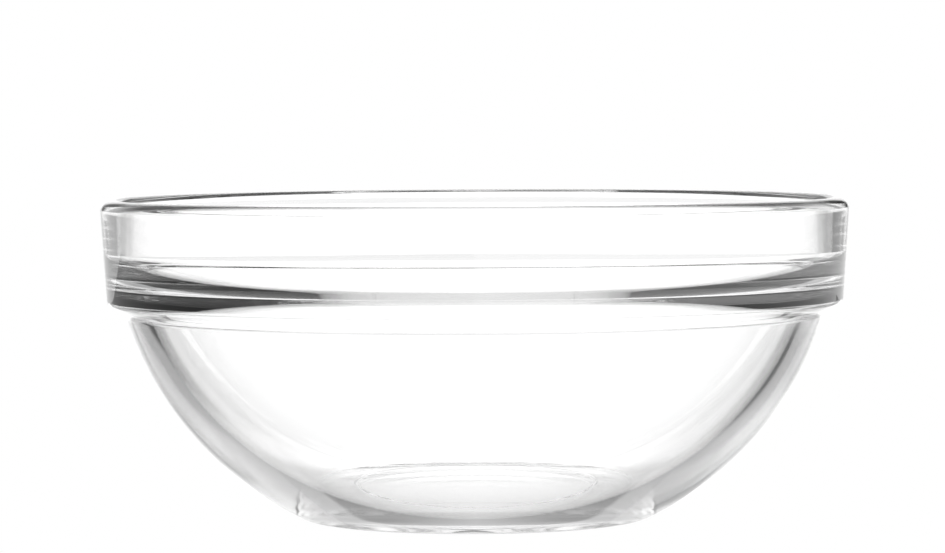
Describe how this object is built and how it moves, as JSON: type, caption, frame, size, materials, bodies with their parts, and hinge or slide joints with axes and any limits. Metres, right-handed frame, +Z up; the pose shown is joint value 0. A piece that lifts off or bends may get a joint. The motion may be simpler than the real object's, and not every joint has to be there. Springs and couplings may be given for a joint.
{
  "type": "prep bowl",
  "caption": "Clear pressed-glass prep bowl with a straight stacking band under its rounded rim, a sloping ledge inside it, a round body and a flat base.",
  "frame": {"origin": "on the table, under the middle of the foot", "axes": "+Z up along the bowl's axis of revolution; X and Y are alike, and the picture looks along +Y"},
  "size_m": [0.17, 0.17, 0.073],
  "materials": {
    "clear_glass": "clear, fire-polished"
  },
  "bodies": {
    "root": {"bowl": "clear_glass"}
  },
  "joints": []
}
